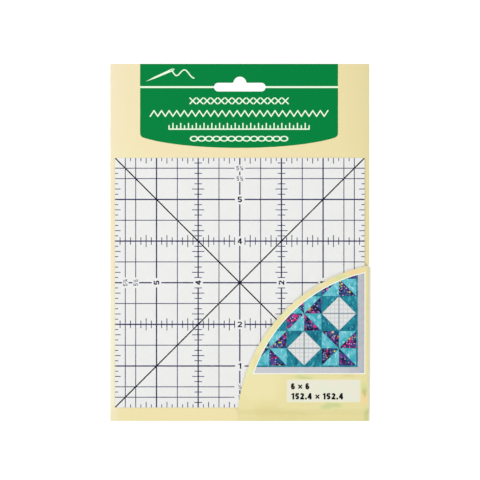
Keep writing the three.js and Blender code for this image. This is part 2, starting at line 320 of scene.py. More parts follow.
def make_slab(name, points, cells, place, materials, back=0, wall=0, soft_edge=0, depth=1):
    """A closed solid over the given cells, with its cut edges rounded by soft_edge.

    place(x, y, share) gives the spot on the solid, from its back, at share 0, to its front, at 1.
    One of each cell's tags names the material of its front.
    """
    triangles = [cell for cell, _ in cells]
    boundary = boundary_of(triangles)
    steps = inward_steps(points, boundary) if soft_edge else {}
    used = sorted({corner for triangle in triangles for corner in triangle})
    rim = sorted({corner for edge in boundary for corner in edge})
    vertices, faces, indices = [], [], []

    def add_ring(corners, inset, share):
        ring = {}
        for corner in corners:
            spot = points[corner] + steps.get(corner, Vector((0, 0))) * inset
            ring[corner] = len(vertices)
            vertices.append(Vector(place(spot.x, spot.y, share)) * MM)
        return ring

    profile = [(soft_edge, 0)]
    if soft_edge:
        for turn in EDGE_TURNS:
            inset = soft_edge * (1 - math.sin(math.radians(turn)))
            profile.append((inset, soft_edge * (1 - math.cos(math.radians(turn))) / depth))
        profile += [(inset, 1 - share) for inset, share in reversed(profile[1:])]
    profile.append((soft_edge, 1))
    rings = [add_ring(used if share in (0, 1) else rim, inset, share) for inset, share in profile]
    for (a, b, c), tags in cells:
        faces.append((rings[-1][a], rings[-1][b], rings[-1][c]))
        indices.append(next(i for i, material in enumerate(materials) if material in tags))
        faces.append((rings[0][a], rings[0][c], rings[0][b]))
        indices.append(back)
    for low, high in zip(rings, rings[1:]):
        for a, b in boundary:
            faces.append((low[a], low[b], high[b], high[a]))
            indices.append(wall)

    mesh = bpy.data.meshes.new(name)
    mesh.from_pydata(vertices, [], faces)
    for material in materials:
        mesh.materials.append(MATERIALS[material])
    mesh.polygons.foreach_set("material_index", indices)
    mesh.polygons.foreach_set("use_smooth", [True] * len(faces))
    mesh.set_sharp_from_angle(angle=math.radians(SHARP_ANGLE))
    mesh.update()
    return add_object(name, mesh)


def add_object(name, data):
    added = bpy.data.objects.new(name, data)
    bpy.context.scene.collection.objects.link(added)
    return added


def level(low, thickness=FILM):
    return lambda x, y, share: (x, y, low + thickness * share)


def film_on_flap(x, y, share, low=0):
    return x, y, under_at(y) + BOARD + low + FILM * share


def make_print(name, shapes, place, inks, choose=lambda tags: next(iter(tags))):
    """A film of one or more inks over the shapes, with place as for make_slab.

    A shape's tag names its ink, and choose picks a cell's ink from its tags, or none.
    """
    points, cells = divide_plane(shapes)
    chosen = [(cell, {choose(tags)}) for cell, tags in cells if choose(tags)]
    return make_slab(name, points, chosen, place, inks)


# Procedural materials

def tone(colour):
    """A colour as the shader takes it, from three screen values up to 255 or from a socket."""
    if not isinstance(colour, tuple):
        return colour
    shares = [value / 255 for value in colour]
    return (*[share / 12.92 if share <= 0.04045 else ((share + 0.055) / 1.055) ** 2.4
              for share in shares], 1)


def fill(node, sockets):
    """Sets each named socket of a node, or links it to another node's output."""
    for name, value in sockets.items():
        if isinstance(value, bpy.types.NodeSocket):
            node.id_data.links.new(value, node.inputs[name])
        else:
            node.inputs[name].default_value = value
    return node


def add_node(tree, kind, sockets, output=0, **settings):
    """An output of a new node."""
    node = tree.nodes.new("ShaderNode" + kind)
    for setting, value in settings.items():
        setattr(node, setting, value)
    return fill(node, sockets).outputs[output]


class Look:
    """A procedural material on a Principled shader, its colour laid on in covers."""

    def __init__(self, name):
        self.material = bpy.data.materials.new(name)
        self.material.use_nodes = True
        self.tree = self.material.node_tree
        self.place = self.add("TexCoord", {}, "Object")
        self.color = None

    def add(self, *settings, **more):
        return add_node(self.tree, *settings, **more)

    def math(self, operation, a, b=0.0):
        return self.add("Math", {0: a, 1: b}, operation=operation)

    def times(self, a, b):
        return self.math("MULTIPLY", a, b)

    def axes(self):
        """The place's coordinates across and up the card, in metres."""
        return [self.add("SeparateXYZ", {0: self.place}, output) for output in "XY"]

    def scaled(self, size_mm, shift, stretch=(1, 1, 1)):
        moved = self.add("Mapping", {"Vector": self.place, "Location": shift, "Scale": stretch})
        return {"Vector": moved, "Scale": 1 / (size_mm * MM)}

    def noise(self, size_mm, detail=3, roughness=0.5, stretch=(1, 1, 1), shift=(0, 0, 0)):
        """Soft noise from 0 to 1 whose blots are about size_mm across."""
        sockets = {"Detail": detail, "Roughness": roughness}
        return self.add("TexNoise", {**self.scaled(size_mm, shift, stretch), **sockets}, "Fac")

    def cells(self, size_mm, feature="F1", shift=(0, 0, 0)):
        """How far each place is from the nearest of points about size_mm apart."""
        return self.add("TexVoronoi", self.scaled(size_mm, shift), "Distance", feature=feature)

    def sway(self):
        """The place, moved a little by soft noise, which makes the edge of a spot uneven."""
        sockets = {"Vector": self.place, "Scale": 1 / (SWAY_SIZE * MM), "Detail": 2}
        noise = self.add("TexNoise", sockets, "Color")
        shift = self.add("VectorMath", {0: noise, 1: (0.5, 0.5, 0.5)}, operation="SUBTRACT")
        sockets = {0: shift, 1: (SWAY * MM, SWAY * MM, 0), 2: self.place}
        return self.add("VectorMath", sockets, operation="MULTIPLY_ADD")

    def spot(self, place, x, y, half_width, half_height, strength=1):
        """A soft oval on the face of the card, from the strength inside to 0 outside; in mm."""
        sockets = {"Vector": place, "Location": (x * MM, y * MM, 0),
                   "Scale": (half_width * MM, half_height * MM, 1)}
        moved = self.add("Mapping", sockets, vector_type="TEXTURE")
        return self.ramp(self.length(moved), 0.5, 1.5, strength, 0)

    def length(self, place):
        return self.add("VectorMath", {0: place}, "Value", operation="LENGTH")

    def ramp(self, value, low, high, to_low=0.0, to_high=1.0):
        sockets = {"Value": value, "From Min": low, "From Max": high,
                   "To Min": to_low, "To Max": to_high}
        return self.add("MapRange", sockets, interpolation_type="SMOOTHSTEP")

    def between(self, coordinate, low, high, to_low=0.0, to_high=1.0):
        """A ramp between two places on the card, in mm."""
        return self.ramp(coordinate, low * MM, high * MM, to_low, to_high)

    def blend_across(self, coordinate, stops):
        """Colours that blend from place to place; each stop is a place in mm and its tone."""
        low, high = stops[0][0], stops[-1][0]
        sockets = {"Value": coordinate, "From Min": low * MM, "From Max": high * MM}
        blend = self.add("ValToRGB", {"Fac": self.add("MapRange", sockets)})
        elements = blend.node.color_ramp.elements
        elements[0].color, elements[-1].color = tone(stops[0][1]), tone(stops[-1][1])
        for place, colour in stops[1:-1]:
            elements.new((place - low) / (high - low)).color = tone(colour)
        return blend

    def mix(self, share, a, b):
        return self.add("Mix", {0: share, 6: tone(a), 7: tone(b)}, 2, data_type="RGBA")

    def cover(self, share, colour):
        """Lays a tone over the colour so far, by that share."""
        self.color = self.mix(share, self.color, colour)

    def bump(self, height, distance_mm):
        return self.add("Bump", {"Height": height, "Distance": distance_mm * MM})

    def board_grain(self, shade):
        """Lays the fine grain of coated board over the colour; gives its roughness and bump."""
        grain = self.noise(BOARD_GRAIN, detail=4, roughness=0.65)
        self.cover(self.ramp(grain, 0.2, 0.8, 0, 0.1), shade)
        return self.ramp(self.noise(1.2), 0.3, 0.7, 0.5, 0.6), self.bump(grain, 0.012)

    def done(self, roughness, normal, specular):
        fill(self.tree.nodes["Principled BSDF"], {
            "Base Color": self.color, "Roughness": roughness, "Normal": normal,
            "Specular IOR Level": specular})
        return self.material


# Washes printed on the flap: a tone, and ovals given by centre and half sizes in mm
FLAP_WASHES = [
    ((234, 224, 172), [(12, -87, 12, 11), (5, -74, 3, 8), (48, -28, 12, 4), (33, -40, 6, 6),
                       (18, -57, 4, 9), (12, -66, 2.5, 3)]),
    ((223, 212, 149), [(17, -102.5, 7.5, 5.5), (31, -105, 12, 3)]),
    ((219, 208, 146), [(74, -66, 2, 8), (66, -82, 4, 1.2)]),
    ((222, 211, 164), [(46.5, -29.4, 5, 2)]),
    ((208, 216, 150), [(39, -82, 5.6, 2), (56, -99.5, 7, 2.4), (76, -89, 1.8, 4.4),
                       (78, -105, 2.8, 5), (61.5, -21.2, 3, 1.6)]),
    ((225, 229, 170), [(6, -79.5, 2.4, 3), (15.4, -60.5, 2.4, 3), (28, -44, 2, 2.4)]),
    ((242, 208, 150), [(76, -96, 2, 3), (71.5, -18.4, 6.6, 1.5)]),
    ((201, 206, 145), [(38.5, -82, 4, 1.3), (56, -99.5, 5.5, 1.6)]),
    ((190, 194, 134), [(78.2, -105.5, 2.2, 4)]),
    ((196, 186, 122), [(76.2, -91.5, 1.4, 2.6)]),
]
WASH_COVER = 0.8
SWAY = 6  # how far noise moves the washes' edges
SWAY_SIZE = 9  # how large that noise's blots are
# Painted shade: an olive spot where the flap's lifted upper end shades the back panel.
FOLD_END_SHADE = (77.3, -13.4, 1.9, 0.9)  # on the back panel beside the flap's upper end


def board_front():
    """Cream print over the fine grain of coated board, with painted light: paler to the left, as
    if lit from there.
    """
    look = Look("board_front")
    x, y = look.axes()
    # Painted light and shade: the cream is paler to the left, as if lit from that side, and darker
    # over the last mm by the fold, as in its shade.
    look.color = look.blend_across(x, [
        (-79, (238, 225, 189)), (-68, (237, 223, 180)), (0, (237, 222, 176)),
        (60, (233, 219, 166)), (74, (229, 216, 161)), (79, (224, 213, 160))])
    look.cover(look.between(y, -96, -104, 0, 0.6), (233, 221, 161))
    # Painted light: a paler strip down the left margin, most of it in the lower part of the card.
    strip = look.times(look.between(y, 10, -70), look.between(x, -73, -77))
    strip = look.times(strip, look.between(y, -106, -94, 0.4, 1))
    look.cover(strip, (240, 235, 206))
    # Painted shade beside the flap's upper end, in an olive tone.
    look.cover(look.spot(look.sway(), *FOLD_END_SHADE), (190, 180, 124))
    cloud = look.noise(28, detail=2)
    look.cover(look.ramp(cloud, 0.5, 0.72, 0, 0.3), (233, 230, 178))
    return look.done(*look.board_grain((222, 205, 150)), specular=0.3)


def board_reverse():
    """Cream print with faint washes, darker at its foot as painted shade, whitened where the board
    is creased.
    """
    look = Look("board_reverse")
    x, y = look.axes()
    look.color = look.mix(look.noise(35, detail=2), (230, 221, 162), (226, 216, 158))
    petals = look.cells(15, shift=(0.1, 0.3, 0))
    look.cover(look.ramp(petals, 0.38, 0.44, 0.5, 0), (226, 217, 155))
    swayed = look.sway()
    for wash, ovals in FLAP_WASHES:
        for oval in ovals:
            look.cover(look.spot(swayed, *oval, WASH_COVER), wash)
    # Painted shade: the foot below the flap's ramp is darker, which evens out the shade that the
    # ramp gets from the lamps.
    look.cover(look.between(y, -103.3, -105.3, 0, 0.25), (219, 207, 141))
    rough, grain = look.board_grain((214, 198, 140))
    edge = look.between(x, card_right - 1.1, card_right - 0.2, 0, 0.5)
    look.cover(edge, (242, 234, 200))
    crease = look.between(x, card_right - 0.9, card_right - 0.1, 0, 0.45)
    cracks = look.ramp(look.noise(0.18, detail=5, stretch=(1, 0.3, 1)), 0.52, 0.7)
    look.cover(look.times(crease, cracks), (242, 237, 218))
    return look.done(rough, grain, specular=0.3)


def two_tone(name, dark, light, rough, depth_mm, specular, **grain):
    """A grain that blends from a darker to a paler tone and stands out by depth_mm."""
    look = Look(name)
    height = look.noise(**grain)
    look.color = look.mix(height, dark, light)
    return look.done(rough, look.bump(height, depth_mm), specular)


def fibre_sheet():
    """Off-white pressed fibre: cloudy, matte, with short fibres in its face."""
    look = Look("fibre_sheet")
    look.color = look.mix(look.noise(9), (230, 231, 230), (237, 237, 234))
    fibres = look.noise(0.5, detail=5, roughness=0.7, stretch=(1, 0.22, 1))
    crossed = look.noise(0.5, detail=5, roughness=0.7, stretch=(0.22, 1, 1), shift=(0.4, 0, 0))
    felt = look.math("ADD", fibres, crossed)
    look.cover(look.ramp(felt, 0.85, 1.25, 0, 0.3), (221, 223, 222))
    rough = look.ramp(felt, 0.8, 1.2, 0.78, 0.9)
    return look.done(rough, look.bump(felt, 0.02), specular=0.25)


def ink(name, dark, light, roughness=0.5, blot_mm=0.35, specular=0.15):
    """Printed ink whose cover varies a little, with the grain of what it is printed on."""
    look = Look(name)
    blots = look.noise(blot_mm, detail=4, roughness=0.6)
    look.color = look.mix(look.ramp(blots, 0.35, 0.75), dark, light)
    rough = look.ramp(look.noise(1.5), 0.3, 0.7, roughness - 0.05, roughness + 0.07)
    return look.done(rough, look.bump(blots, 0.008), specular)


def teal_batik(name, dark, middle, light):
    """Dyed cloth in soft blots with paler streaks, as it prints in a picture."""
    look = Look(name)
    blots = look.noise(4.2, roughness=0.55)
    streaks = look.noise(1.5, detail=4, roughness=0.6, stretch=(1, 0.45, 1), shift=(0.2, 0, 0))
    look.color = look.mix(look.ramp(blots, 0.36, 0.58), dark, middle)
    look.cover(look.ramp(streaks, 0.52, 0.68, 0, 0.85), light)
    return look.done(0.5, look.bump(blots, PICTURE_GRAIN), specular=0.1)


def floral_cloth():
    """Navy cloth printed with magenta, violet and yellow flowers and small pale specks."""
    look = Look("floral_cloth")
    blots = look.ramp(look.noise(4, detail=2), 0.45, 0.6)
    look.color = look.mix(blots, (18, 20, 62), (20, 78, 122))
    violet = look.noise(3.2, shift=(0.5, 0, 0))
    look.cover(look.ramp(violet, 0.5, 0.6, 0, 0.75), (92, 52, 138))
    petals = look.ramp(look.cells(1.7, feature="SMOOTH_F1"), 0.24, 0.46, 1, 0)
    clusters = look.ramp(look.noise(7, detail=1, shift=(0.2, 0, 0)), 0.52, 0.6)
    look.cover(look.times(petals, clusters), (206, 38, 118))
    specks = look.ramp(look.cells(1.35, shift=(0.1, 0.6, 0)), 0.2, 0.34, 0.9, 0)
    specked = look.ramp(look.noise(3, detail=2, shift=(0.9, 0, 0)), 0.4, 0.55, 0.25, 1)
    look.cover(look.times(specks, specked), (208, 178, 222))
    gold = look.ramp(look.cells(1.9, shift=(0.3, 0.3, 0)), 0.22, 0.38, 1, 0)
    golden = look.ramp(look.noise(8, detail=1, shift=(0.6, 0.2, 0)), 0.56, 0.62)
    look.cover(look.times(gold, golden), (224, 200, 66))
    return look.done(0.5, look.bump(petals, PICTURE_GRAIN), specular=0.08)


def checked_cloth():
    """Pale cloth with a fine woven grid and a heavier line at every fourth thread."""
    look = Look("checked_cloth")
    x, y = look.axes()

    def lines(period, low):
        """Lines across and up, that many mm apart; low is where the wave turns dark."""
        waves = []
        for coordinate, start in ((x, quilt_right), (y, quilt_low)):
            way = look.math("SUBTRACT", coordinate, start * MM)
            turn = look.times(way, 2 * math.pi / (period * MM))
            waves.append(look.ramp(look.math("COSINE", turn), low, 1))
        return look.math("MAXIMUM", *waves)

    weave = look.noise(0.4)
    look.color = look.mix(weave, (214, 217, 218), (226, 227, 225))
    look.cover(look.times(lines(QUILT_UNIT / 4, 0.5), 0.3), (150, 154, 160))
    look.cover(look.times(lines(QUILT_UNIT, 0.93), 0.55), (120, 124, 132))
    return look.done(0.5, look.bump(weave, PICTURE_GRAIN), specular=0.1)


def border_paper():
    """The grey margin round the picture, darker to the right."""
    look = Look("border_grey")
    x = look.axes()[0]
    look.color = look.blend_across(
        x, [(5, (196, 198, 204)), (60, (192, 194, 200)), (76, (174, 177, 184))])
    blots = look.noise(3)
    look.cover(look.ramp(blots, 0.3, 0.7, 0, 0.3), (206, 207, 211))
    return look.done(0.5, look.bump(blots, PICTURE_GRAIN), specular=0.1)


def label_paper():
    """A pale panel whose edges fade into the board's cream."""
    look = Look("label_ground")
    x, y = look.axes()
    insets = [look.math("MINIMUM", look.math("SUBTRACT", coordinate, low * MM),
                        look.math("SUBTRACT", high * MM, coordinate))
              for coordinate, low, high in zip((x, y), label_low, label_high)]
    pale = look.mix(look.ramp(look.noise(9), 0.35, 0.65), (231, 227, 209), (225, 229, 208))
    inset = look.math("MINIMUM", *insets)
    look.color = look.mix(look.between(inset, 0, LABEL_FADE), (232, 222, 165), pale)
    grain = look.noise(BOARD_GRAIN, detail=4, roughness=0.65)
    return look.done(0.55, look.bump(grain, 0.01), specular=0.3)


MATERIALS = {
    "front": board_front(),
    "reverse": board_reverse(),
    # The board's white core shows at its cut edges, in thin layers of pulp.
    "core": two_tone("board_core", (222, 216, 198), (246, 242, 230), 0.85, 0.04, 0.2,
                     size_mm=0.16, detail=5, roughness=0.7, stretch=(1, 1, 3)),
    "sheet": fibre_sheet(),
    # The ruler's cut edge is a little rougher and greyer than its face.
    "sheet_edge": two_tone("sheet_edge", (212, 213, 210), (238, 238, 234), 0.9, 0.05, 0.2,
                           size_mm=0.3, detail=5, roughness=0.7, stretch=(0.4, 0.4, 3)),
    # The glue is a dry, slightly amber film with small ripples.
    "glue": two_tone("dried_glue", (222, 210, 170), (240, 232, 205), 0.3, 0.03, 0.5,
                     size_mm=1.4, stretch=(0.5, 1, 1)),
    "green": ink("green_ink", (0, 125, 59), (2, 131, 65), specular=0.03),
    "navy": ink("navy_ink", (44, 42, 84), (62, 60, 106), 0.55, 0.2, 0.05),
    "black": ink("black_ink", (14, 13, 20), (28, 27, 36), 0.5, 0.2, 0.05),
    "blue_black": ink("blue_black_ink", (22, 22, 54), (36, 35, 72), 0.5, 0.2, 0.05),
    "pale": ink("pale_ink", (230, 249, 222), (238, 252, 232)),
    "keyline": ink("keyline_white", (240, 242, 234), (248, 248, 242)),
    "border": border_paper(),
    "seam": ink("seam_shade", (20, 112, 130), (40, 136, 150)),
    "teal": teal_batik("teal_batik", (56, 166, 180), (98, 190, 202), (170, 222, 232)),
    "deep": teal_batik("deep_teal", (8, 96, 120), (22, 128, 146), (80, 180, 190)),
    "floral": floral_cloth(),
    "check": checked_cloth(),
    "label": label_paper(),
}


# The card: one sheet of board, its right part folded over to the front

def under_at(y):
    """Height of the flap's underside: down on the glue at its foot, then up over the ruler."""
    share = min(max((y - ramp_top + RAMP_LENGTH) / RAMP_LENGTH, 0), 1)
    lift = FLAP_LIFT * max(y - ramp_top, 0) / (fold_top - ramp_top)
    return foot_under + (flap_under - foot_under) * share * share * (3 - 2 * share) + lift


def folded(along, y, share):
    """Where a point of the flat board lies once the board is folded.

    along is its place across the flat board, and share runs from the reverse, 0, to the front, 1.
    """
    if along <= fold_start or y > fold_top + CLOSE:
        return along, y, BOARD * share
    height = under_at(y) + BOARD
    radius = height / 2
    centre_x = card_right - radius
    leg = centre_x - fold_start
    ring = math.pi * (radius - BOARD / 2)
    way = (along - fold_start) / FOLD_STRIP * (2 * leg + ring)
    if way < leg:
        return fold_start + way, y, BOARD * share
    if way <= leg + ring:
        turn = (way - leg) / ring * math.pi - QUARTER
        reach = radius - BOARD * share
        return centre_x + reach * math.cos(turn), y, radius + reach * math.sin(turn)
    if along <= fold_start + FOLD_STRIP:
        return centre_x - (way - leg - ring), y, height - BOARD * share
    return turned_over - along, y, height - BOARD * share


def flat_outline():
    """Outline of the card while it is still flat, with its flap out to the right."""
    start, end = (flap_low.x, ruler_bottom), (card_right, ruler_bottom + FLAP_RISE)
    centre, radius = circle_through(start, end, FLAP_BULGE)
    edge_start = math.atan2(ruler_bottom - centre.y, flap_low.x - centre.x)
    edge_end = math.atan2(fold_top - centre.y, fold_start - centre.x)
    edge = arc(centre, radius, edge_start % (2 * math.pi), edge_end, FLAP_STEPS)
    notch = card_right - NOTCH_DEPTH
    ring_start = card_right - flap_high.z / 2
    return [
        (-card_right, card_bottom),
        (turned_over - flap_low.x, card_bottom),
        *[(turned_over - x, y) for x, y in edge],
        (ring_start, fold_top),
        (notch, fold_top + NOTCH_DEPTH),
        (notch, fold_top + NOTCH_HEIGHT),
        (card_right, fold_top + NOTCH_HEIGHT),
        (card_right, card_top),
        (-card_right, card_top),
    ]


def fold_guides():
    """Cells that divide the board finely where it bends: at the fold and the flap's foot."""
    rows = [card_bottom - BEYOND]
    rows += [ramp_top - RAMP_LENGTH * (1 - i / RAMP_ROWS) for i in range(RAMP_ROWS + 1)]
    rows += [fold_top + BEYOND]
    columns = [fold_start + FOLD_STRIP * i / FOLD_COLUMNS for i in range(FOLD_COLUMNS + 1)]
    columns += [turned_over - flap_low.x + BEYOND]
    return [("guide", [rectangle(left, right, low, high)])
            for left, right in zip(columns, columns[1:]) for low, high in zip(rows, rows[1:])]


def make_card():
    shapes = [("front", [flat_outline(), slot_outline()]), *fold_guides()]
    points, cells = divide_plane(shapes)
    kept = [(cell, tags) for cell, tags in cells if "front" in tags]
    card = make_slab("card_board", points, kept, folded, ["front", "reverse", "core"],
                     back=1, wall=2, soft_edge=SOFT_EDGE, depth=BOARD)
    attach(card, "card")
    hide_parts("back_panel", "side_fold", "front_flap")


def make_sheet():
    outline = rounded_box(sheet_low, sheet_high, SHEET_CORNER)
    points, cells = divide_plane([("sheet", [outline])])
    thickness = sheet_high.z - sheet_low.z
    sheet = make_slab("ruler_plate", points, cells, level(sheet_low.z, thickness),
                      ["sheet", "sheet_edge"], wall=1, soft_edge=SHEET_EDGE, depth=thickness)
    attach(sheet, "ruler")
    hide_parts("ruler_sheet")


# Figures drawn with strokes, in units of their height

FIGURE_WIDTH = 0.62
FIGURE_SPACE = 0.15
FRACTION_SCALE = 0.56
FRACTION_BOLDER = 1.3
SLASH = ((-0.14, -0.02), (0.24, 1.02))  # ends of the stroke of a fraction
SLASH_WEIGHT = 0.6
SLASH_SPACE = 0.08


def bow(centre, half_width, half_height, start, end, steps=14):
    """Points along an elliptic arc; angles in degrees."""
    start, end = math.radians(start), math.radians(end)
    return oval_arc(centre, half_width, half_height, start, end, steps)


def figure(sign, weight):
    """Width of one figure, and its strokes as shapes."""
    half = weight / 2
    wide = FIGURE_WIDTH
    middle = wide / 2
    reach = middle - half

    def stroke(path, share=1):
        return [ribbon(path, weight * share)]

    if sign == "1":
        stem = wide * 0.56
        flag = [(stem - half, 1), (stem - half - 0.03, 0.9), (stem - half - 0.2, 0.82),
                (stem - half - 0.2, 0.68), (stem - half, 0.74)]
        return stem + half, [stroke([(stem, 0), (stem, 1)]), [flag]]
    if sign == "2":
        top = bow((middle, 1 - half - reach), reach, reach, 172, -42)
        return wide, [stroke([*top, (half * 1.15, half * 0.9)]), stroke([(0, half), (wide, half)])]
    if sign == "3":
        upper = bow((middle, 0.74), reach * 0.9, 0.26 - half, 160, -88)
        lower = bow((middle, 0.29), reach, 0.29 - half, 88, -160)
        return wide, [stroke(upper), stroke(lower)]
    if sign == "4":
        stem = wide - 0.21
        slope = [(stem - half * 0.3, 1 - half * 0.7), (half * 0.55, 0.31)]
        return wide, [stroke([(stem, 0), (stem, 1)]), stroke([(0, 0.3), (wide, 0.3)], 0.85),
                      stroke(slope)]
    if sign == "5":
        bowl = bow((middle - 0.01, 0.335), reach, 0.335 - half, 138, -158)
        return wide, [stroke([(0.1, 1 - half), (wide - 0.04, 1 - half)]),
                      stroke([(0.14, 1 - half), (0.09, 0.44)], 0.9), stroke(bowl)]
    if sign == "6":
        outer = bow((middle, 0.335), middle, 0.335, 0, 345, 23)
        inner = bow((middle, 0.335), middle - weight, 0.335 - weight, 0, 345, 23)
        return wide, [[outer, inner], stroke(bow((middle, 0.5), reach, 0.5 - half, 196, 42))]
    if sign == ".":
        return weight, [[rectangle(0, weight, 0, weight)]]
    if sign == "×":
        arm = 0.29
        ends = [((arm * a, 0.44 - arm), (arm * b, 0.44 + arm)) for a, b in ((0, 2), (2, 0))]
        return 2 * arm, [stroke(pair, 0.75) for pair in ends]
    raise ValueError(f"no strokes are written for {sign!r}")


def figures(text, height, weight, stretch=1):
    """Shapes of a line of figures, centred on the origin, in millimetres.

    A fraction is written with a stroke, as in 5 1/2, and its parts are made small.
    """
    shapes = []
    across = 0

    def place(sign, scale, up):
        nonlocal across
        width, strokes = figure(sign, weight if scale == 1 else weight * FRACTION_BOLDER)
        for loops in strokes:
            shapes.append([[(across + x * scale, up + y * scale) for x, y in loop]
                           for loop in loops])
        across += (width + FIGURE_SPACE) * scale

    for word in text.split(" "):
        if "/" not in word:
            for sign in word:
                place(sign, 1, 0)
            continue
        upper, lower = word.split("/")
        place(upper, FRACTION_SCALE, 1 - FRACTION_SCALE)
        slash = [(across + x, y) for x, y in SLASH]
        shapes.append([ribbon(slash, weight * SLASH_WEIGHT)])
        across += SLASH_SPACE
        place(lower, FRACTION_SCALE, 0)
    xs = [x for loops in shapes for loop in loops for x, _ in loop]
    middle = (min(xs) + max(xs)) / 2
    return [[[((x - middle) * height * stretch, (y - 0.5) * height) for x, y in loop]
             for loop in loops] for loops in shapes]


def moved(loops, centre, turn=0):
    """The loops turned by quarter turns to the left, then moved."""
    for _ in range(turn):
        loops = [[(-y, x) for x, y in loop] for loop in loops]
    return [[(x + centre[0], y + centre[1]) for x, y in loop] for loop in loops]


# The inch scale, counted from the ruler's right and lower edges

def scale_place(right, up):
    """The spot that lies so many inches in from the right edge and up from the lower edge."""
    return sheet_high.x - right * DIVISION, ruler_bottom + up * DIVISION


def scale_bars(n, low, high, width):
    """A line up and a line across the scale at n, both from low to high, all in inches."""
    return [ribbon([scale_place(n, low), scale_place(n, high)], width),
            ribbon([scale_place(low, n), scale_place(high, n)], width)]


def scale_lines():
    shapes = []
    for n in LINE_DIVISIONS:
        shapes += scale_bars(n, 0, DIVISION_COUNT, MAJOR_LINE if n == int(n) else MINOR_LINE)
    return shapes


def scale_diagonals():
    end = DIVISION_COUNT
    return [ribbon([scale_place(0, 0), scale_place(end, end)], DIAGONAL_LINE),
            ribbon([scale_place(0, end), scale_place(end, 0)], DIAGONAL_LINE)]


def scale_ticks():
    """Ticks at each eighth, inside the four edges and across the ticked lines."""
    shapes = []
    for step in range(1, DIVISION_COUNT * EIGHTHS):
        n = step / EIGHTHS
        if n in LINE_DIVISIONS:
            continue
        quarter = step % 2 == 0
        if 1 < step < DIVISION_COUNT * EIGHTHS - 1:
            length = (EDGE_TICK_LONG if quarter else EDGE_TICK) / DIVISION
            shapes += scale_bars(n, 0, length, TICK_LINE)
            shapes += scale_bars(n, DIVISION_COUNT, DIVISION_COUNT - length, TICK_LINE)
        reach = (CROSS_TICK_LONG if quarter else CROSS_TICK) / DIVISION
        for line in TICKED_DIVISIONS:
            shapes += scale_bars(n, line - reach, line + reach, TICK_LINE)
    return shapes


def scale_gaps():
    """Bare places round the numbers."""
    middle = DIVISION_COUNT / 2
    gaps = [(n, NUMERAL_GAP, NUMERAL_GAP) for n in NUMBERS]
    gaps += [(n, FRACTION_GAP_ACROSS, FRACTION_GAP_ALONG) for n in FRACTIONS]
    shapes = []
    for n, across, along in gaps:
        x, y = scale_place(middle, n)
        shapes.append(rectangle(x - across, x + across, y - along, y + along))
        x, y = scale_place(n, middle)
        shapes.append(rectangle(x - along, x + along, y - across, y + across))
    return shapes


def scale_numbers(ink_name, marks, height, weight, stretch=1):
    """The same numbers upright up the middle line, and turned to the left along the other one."""
    middle = DIVISION_COUNT / 2
    shapes = []
    for n, text in marks.items():
        for loops in figures(text, height, weight, stretch):
            shapes.append((ink_name, moved(loops, scale_place(middle, n))))
            shapes.append((ink_name, moved(loops, scale_place(n, middle), turn=1)))
    return shapes


def make_scale():
    shapes = [("navy", [loop]) for loop in scale_lines() + scale_ticks()]
    shapes += [("black", [loop]) for loop in scale_diagonals()]
    shapes += [("gap", [loop]) for loop in scale_gaps()]
    shapes += [("sheet", [rounded_box(sheet_low, sheet_high, SHEET_CORNER, SHEET_EDGE)])]

    def choose(tags):
        if "sheet" not in tags or "gap" in tags:
            return None
        return next((name for name in ("black", "navy") if name in tags), None)

    place = level(sheet_high.z)
    grid = make_print("scale_grid", shapes, place, ["navy", "black"], choose)
    whole = scale_numbers("blue_black", NUMBERS, NUMERAL_HEIGHT, NUMERAL_WEIGHT, NUMERAL_STRETCH)
    numerals = make_print("scale_numerals", whole, place, ["blue_black"])
    small = scale_numbers("navy", FRACTIONS, FRACTION_HEIGHT, FRACTION_WEIGHT)
    fractions = make_print("scale_fractions", small, place, ["navy"])
    for piece in (grid, numerals, fractions):
        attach(piece, "ruler")
    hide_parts("scale_grid_print")


# The header: green fields with pale rows of stitches, and a needle with its thread

def stitch(start, end):
    return capsule(start, end, STITCH_WIDTH)


def steps_along(width, pitch):
    """Places with about that pitch, spread evenly over the width, with zero in the middle."""
    count = round(width / pitch)
    return [width * (i / count - 0.5) for i in range(count + 1)]


def cross_stitches(middle, width, pitch):
    shapes = []
    for x in steps_along(width - 2 * STITCH_REACH, pitch):
        for rise in (STITCH_REACH, -STITCH_REACH):
            left, right = x - STITCH_REACH, x + STITCH_REACH
            shapes.append(stitch((left, middle - rise), (right, middle + rise)))
    return shapes


def zigzag_stitches(middle, width, pitch):
    places = steps_along(width, pitch)
    tops = [(x, middle + (STITCH_REACH if i % 2 else -STITCH_REACH)) for i, x in enumerate(places)]
    return [stitch(*ends) for ends in zip(tops, tops[1:])]


def blanket_stitches(middle, width, pitch):
    foot = middle - STITCH_REACH
    shapes = [stitch((-width / 2, foot), (width / 2, foot))]
    for i, x in enumerate(steps_along(width, pitch)):
        top = middle + STITCH_REACH * (1 if i % 2 else SHORT_STITCH)
        shapes.append(stitch((x, foot), (x, top)))
    return shapes


def chain_stitches(middle, width, pitch):
    """Links that overlap a little, each a ring with a hole."""
    shapes = []
    for x in steps_along(width - CHAIN_INSET, pitch):
        outer = ellipse((x, middle), LINK_LENGTH / 2, STITCH_REACH)
        inner = ellipse((x, middle), LINK_HOLE / 2, STITCH_REACH - STITCH_WIDTH * LINK_RIM)
        shapes.append([outer, inner])
    return shapes


